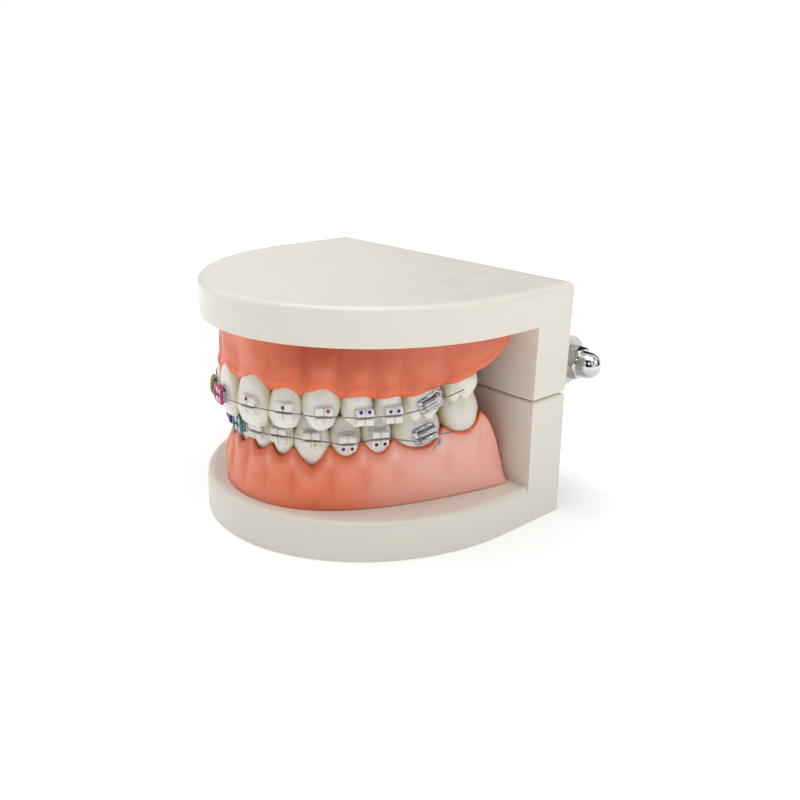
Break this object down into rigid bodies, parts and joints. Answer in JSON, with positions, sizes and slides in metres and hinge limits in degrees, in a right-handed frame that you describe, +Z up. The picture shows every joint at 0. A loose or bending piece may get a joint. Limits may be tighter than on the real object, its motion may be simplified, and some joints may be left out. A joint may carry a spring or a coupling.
{
  "type": "typodont model",
  "caption": "Hinged dental model: white upper and lower bases, coral gums, ivory teeth with an orthodontic appliance of brackets, molar tubes and archwires.",
  "frame": {"origin": "middle of the lower base plate's underside, halfway between its flanks and halfway between its front and the rear face of its wall", "axes": "+Z up through both jaws, -Y towards the front teeth, +X towards the model's own left side"},
  "size_m": [0.0864, 0.0794, 0.0555],
  "materials": {
    "base_plastic": "satin warm white ABS",
    "gum": "semi-gloss coral soft PVC with light stipple",
    "tooth": "glossy ivory acrylic",
    "bracket_ceramic": "translucent white ceramic",
    "bracket_steel": "polished stainless steel",
    "wire_steel": "drawn nickel-titanium wire",
    "bolt_steel": "zinc plated steel",
    "nut_chrome": "nickel-chrome plated",
    "elastic_magenta": "coloured polyurethane elastic",
    "elastic_gold": "coloured polyurethane elastic",
    "elastic_red": "coloured polyurethane elastic",
    "elastic_orange": "coloured polyurethane elastic",
    "elastic_blue": "coloured polyurethane elastic",
    "elastic_teal": "coloured polyurethane elastic",
    "elastic_purple": "coloured polyurethane elastic",
    "elastic_green": "coloured polyurethane elastic",
    "elastic_yellow": "coloured polyurethane elastic",
    "elastic_pink": "coloured polyurethane elastic"
  },
  "bodies": {
    "lower_jaw": {"lower_archwire": "wire_steel", "lower_base": "base_plastic", "lower_ceramic_brackets": "bracket_ceramic", "lower_gum": "gum", "lower_left_canine": "tooth", "lower_left_central_incisor": "tooth", "lower_left_first_molar": "tooth", "lower_left_first_premolar": "tooth", "lower_left_lateral_incisor": "tooth", "lower_left_second_molar": "tooth", "lower_left_second_premolar": "tooth", "lower_ligature_canine": "elastic_green", "lower_ligature_central_incisor": "elastic_teal", "lower_ligature_first_premolar": "elastic_yellow", "lower_ligature_lateral_incisor": "elastic_purple", "lower_ligature_second_premolar": "elastic_pink", "lower_metal_brackets": "bracket_steel", "lower_molar_tubes": "bracket_steel", "lower_right_canine": "tooth", "lower_right_central_incisor": "tooth", "lower_right_first_molar": "tooth", "lower_right_first_premolar": "tooth", "lower_right_lateral_incisor": "tooth", "lower_right_second_molar": "tooth", "lower_right_second_premolar": "tooth"},
    "upper_jaw": {"upper_archwire": "wire_steel", "upper_base": "base_plastic", "upper_ceramic_brackets": "bracket_ceramic", "upper_gum": "gum", "upper_left_canine": "tooth", "upper_left_central_incisor": "tooth", "upper_left_first_molar": "tooth", "upper_left_first_premolar": "tooth", "upper_left_lateral_incisor": "tooth", "upper_left_second_molar": "tooth", "upper_left_second_premolar": "tooth", "upper_ligature_canine": "elastic_red", "upper_ligature_central_incisor": "elastic_magenta", "upper_ligature_first_premolar": "elastic_orange", "upper_ligature_lateral_incisor": "elastic_gold", "upper_ligature_second_premolar": "elastic_blue", "upper_metal_brackets": "bracket_steel", "upper_molar_tubes": "bracket_steel", "upper_right_canine": "tooth", "upper_right_central_incisor": "tooth", "upper_right_first_molar": "tooth", "upper_right_first_premolar": "tooth", "upper_right_lateral_incisor": "tooth", "upper_right_second_molar": "tooth", "upper_right_second_premolar": "tooth", "hinge_bolt": "bolt_steel", "acorn_nuts": "nut_chrome"}
  },
  "joints": [
    {"name": "jaw_hinge", "type": "hinge", "parent": "lower_jaw", "child": "upper_jaw", "pos_m": [0, 0.0403, 0.0348], "axis": [-1, 0, 0], "range_deg": [0, 110]}
  ]
}
